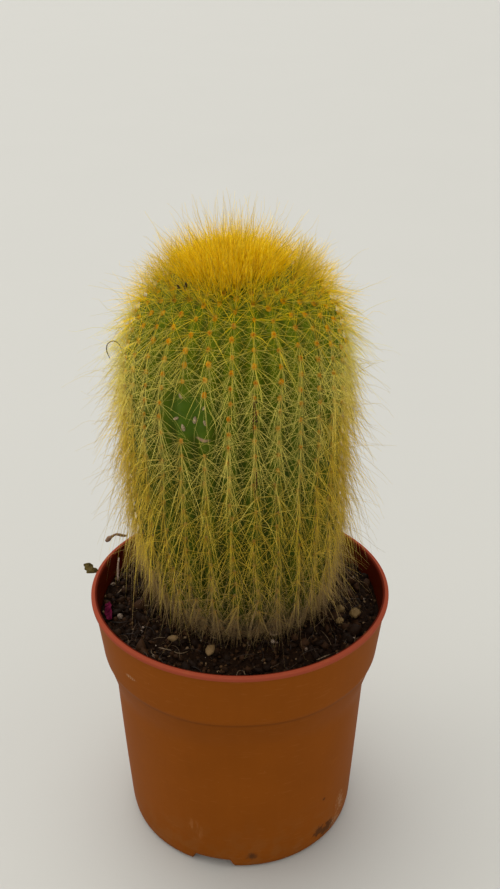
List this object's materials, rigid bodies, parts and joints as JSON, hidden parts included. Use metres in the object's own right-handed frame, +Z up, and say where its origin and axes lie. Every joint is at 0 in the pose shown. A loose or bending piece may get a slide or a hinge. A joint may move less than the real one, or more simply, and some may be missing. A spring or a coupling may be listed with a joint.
{
  "type": "potted cactus",
  "caption": "Short round-shouldered ribbed cactus with straw and golden bristles and a dense golden crown, in a tapered terracotta-coloured nursery pot of dark soil.",
  "frame": {"origin": "centre of the pot's foot, on the surface that it stands on", "axes": "+Z up along the pot's axis; -Y towards the side that is seen first, with the foot notch a little to its left"},
  "size_m": [0.105, 0.105, 0.2245],
  "materials": {
    "terracotta_plastic": "satin",
    "peat_soil": "matte",
    "cactus_skin": "satin",
    "straw_bristles": "satin",
    "golden_bristles": "satin",
    "cream_pebble": "matte",
    "dry_stalk": "matte"
  },
  "bodies": {
    "root": {"pot": "terracotta_plastic", "soil": "peat_soil", "cactus_stem": "cactus_skin", "crown_tuft": "golden_bristles", "spine_row_01": "straw_bristles", "spine_row_02": "straw_bristles", "spine_row_03": "straw_bristles", "spine_row_04": "straw_bristles", "spine_row_05": "straw_bristles", "spine_row_06": "straw_bristles", "spine_row_07": "straw_bristles", "spine_row_08": "straw_bristles", "spine_row_09": "straw_bristles", "spine_row_10": "straw_bristles", "spine_row_11": "straw_bristles", "spine_row_12": "straw_bristles", "spine_row_13": "straw_bristles", "spine_row_14": "straw_bristles", "spine_row_15": "straw_bristles", "spine_row_16": "straw_bristles", "spine_row_17": "straw_bristles", "spine_row_18": "straw_bristles", "spine_row_19": "straw_bristles", "spine_row_20": "straw_bristles", "spine_row_21": "straw_bristles", "spine_row_22": "straw_bristles", "spine_row_23": "straw_bristles", "spine_row_24": "straw_bristles", "spine_row_25": "straw_bristles", "spine_row_26": "straw_bristles", "spine_row_27": "straw_bristles", "spine_row_28": "straw_bristles", "spine_row_29": "straw_bristles", "spine_row_30": "straw_bristles", "pebble_left": "cream_pebble", "pebble_front": "cream_pebble", "pebble_right_large": "cream_pebble", "pebble_right_round": "cream_pebble", "pebble_right_small": "cream_pebble", "dry_stalk": "dry_stalk"}
  },
  "joints": []
}
